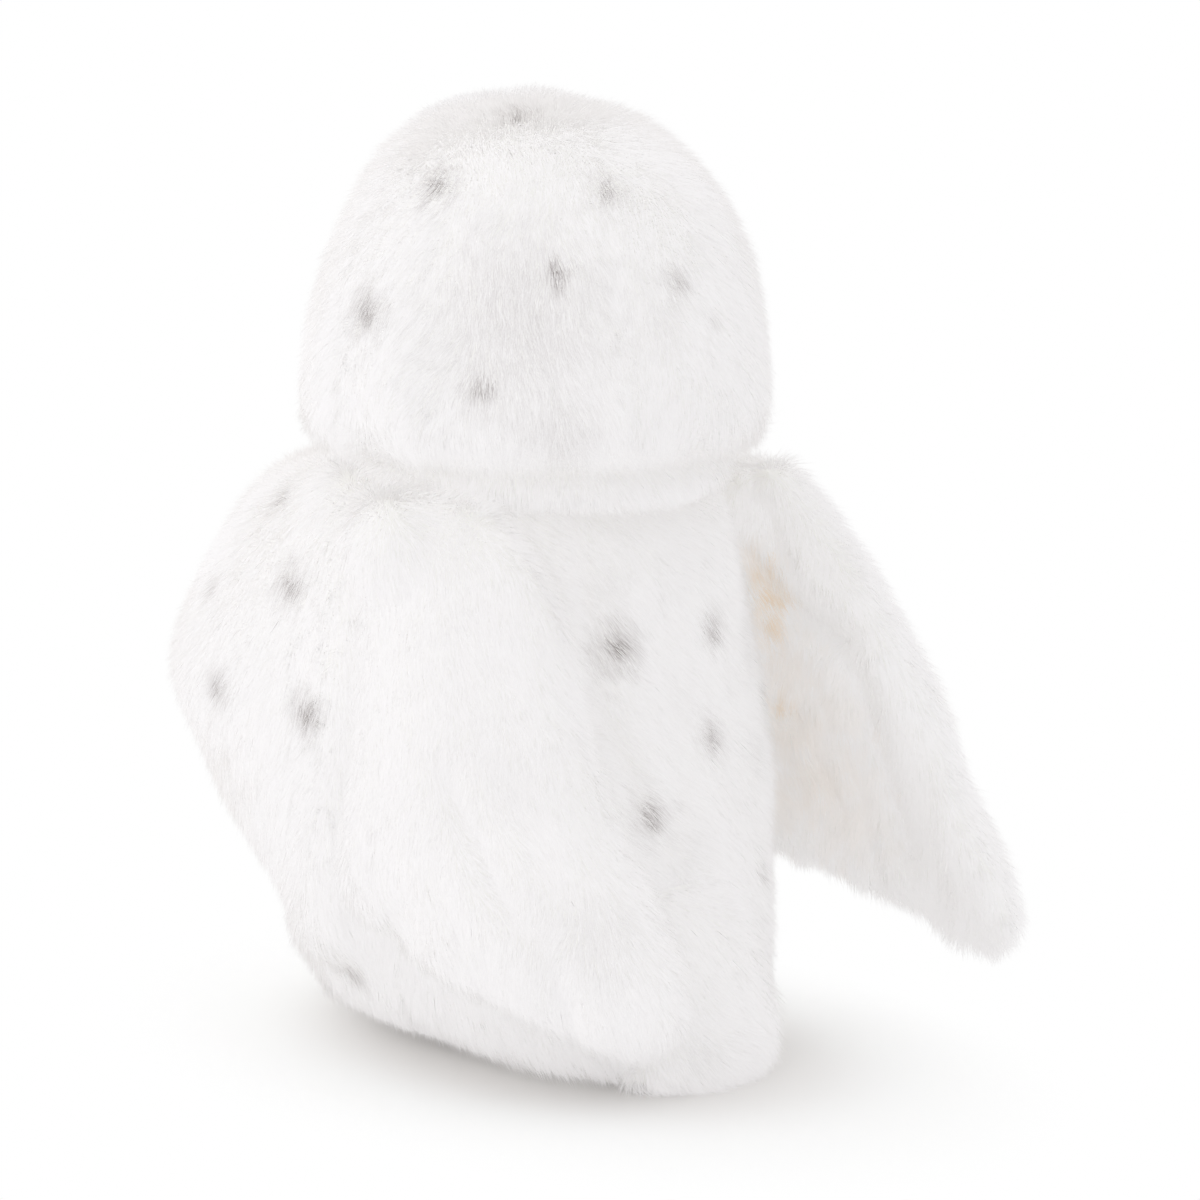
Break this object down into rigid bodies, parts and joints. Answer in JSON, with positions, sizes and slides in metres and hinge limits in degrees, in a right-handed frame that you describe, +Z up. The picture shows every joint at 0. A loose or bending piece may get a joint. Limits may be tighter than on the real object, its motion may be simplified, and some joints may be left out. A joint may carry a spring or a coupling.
{
  "type": "stuffed toy owl",
  "caption": "Stuffed snowy owl of spotted white long-pile fur, with a head that turns and nods and two wings that swing open; sits on a flat weighted base.",
  "frame": {"origin": "on the base panel's underside, midway between the owl's sides, on the surface that the owl stands on", "axes": "the body faces -Y, its left side is +X, +Z is up"},
  "size_m": [0.2238, 0.2255, 0.2955],
  "materials": {
    "fur": "long-pile plush fur, near white with soft grey-brown spots",
    "short_fur": "short-pile plush, warm white",
    "fibre": "polyester fibre stuffing",
    "bag_cloth": "plain woven cloth",
    "base_cloth": "flat brushed cloth",
    "eye": "glossy amber with a black pupil and rim",
    "washer": "matt natural nylon",
    "horn": "satin black"
  },
  "bodies": {
    "torso": {"body_cover": "fur", "body_stuffing": "fibre", "pellet_bag": "bag_cloth", "base_panel": "base_cloth", "tail_cover": "fur", "tail_stuffing": "fibre", "left_foot": "short_fur", "left_inner_claw": "horn", "left_middle_claw": "horn", "left_outer_claw": "horn", "right_foot": "short_fur", "right_inner_claw": "horn", "right_middle_claw": "horn", "right_outer_claw": "horn"},
    "neck": {"neck_sleeve": "short_fur", "neck_stuffing": "fibre"},
    "head": {"head_cover": "fur", "head_stuffing": "fibre", "face_panel": "fur", "beak": "horn", "left_eye": "eye", "left_eye_washer": "washer", "right_eye": "eye", "right_eye_washer": "washer"},
    "left_wing": {"left_wing_cover": "fur", "left_wing_lining": "short_fur", "left_wing_stuffing": "fibre"},
    "right_wing": {"right_wing_cover": "fur", "right_wing_lining": "short_fur", "right_wing_stuffing": "fibre"}
  },
  "joints": [
    {"name": "neck_turn", "type": "hinge", "parent": "torso", "child": "neck", "pos_m": [0, 0.005, 0.188], "axis": [0, 0, 1], "range_deg": [-22, 98]},
    {"name": "head_nod", "type": "hinge", "parent": "neck", "child": "head", "pos_m": [0, 0.005, 0.188], "axis": [0.788, -0.6157, 0], "range_deg": [-8, 8]},
    {"name": "left_wing_open", "type": "hinge", "parent": "torso", "child": "left_wing", "pos_m": [0.08099, 0.01801, 0.05005], "axis": [0.0766, -0.0179, -0.9969], "range_deg": [0, 100]},
    {"name": "right_wing_open", "type": "hinge", "parent": "torso", "child": "right_wing", "pos_m": [-0.08099, 0.01801, 0.05005], "axis": [0.0766, 0.0179, 0.9969], "range_deg": [-66, 34]}
  ]
}
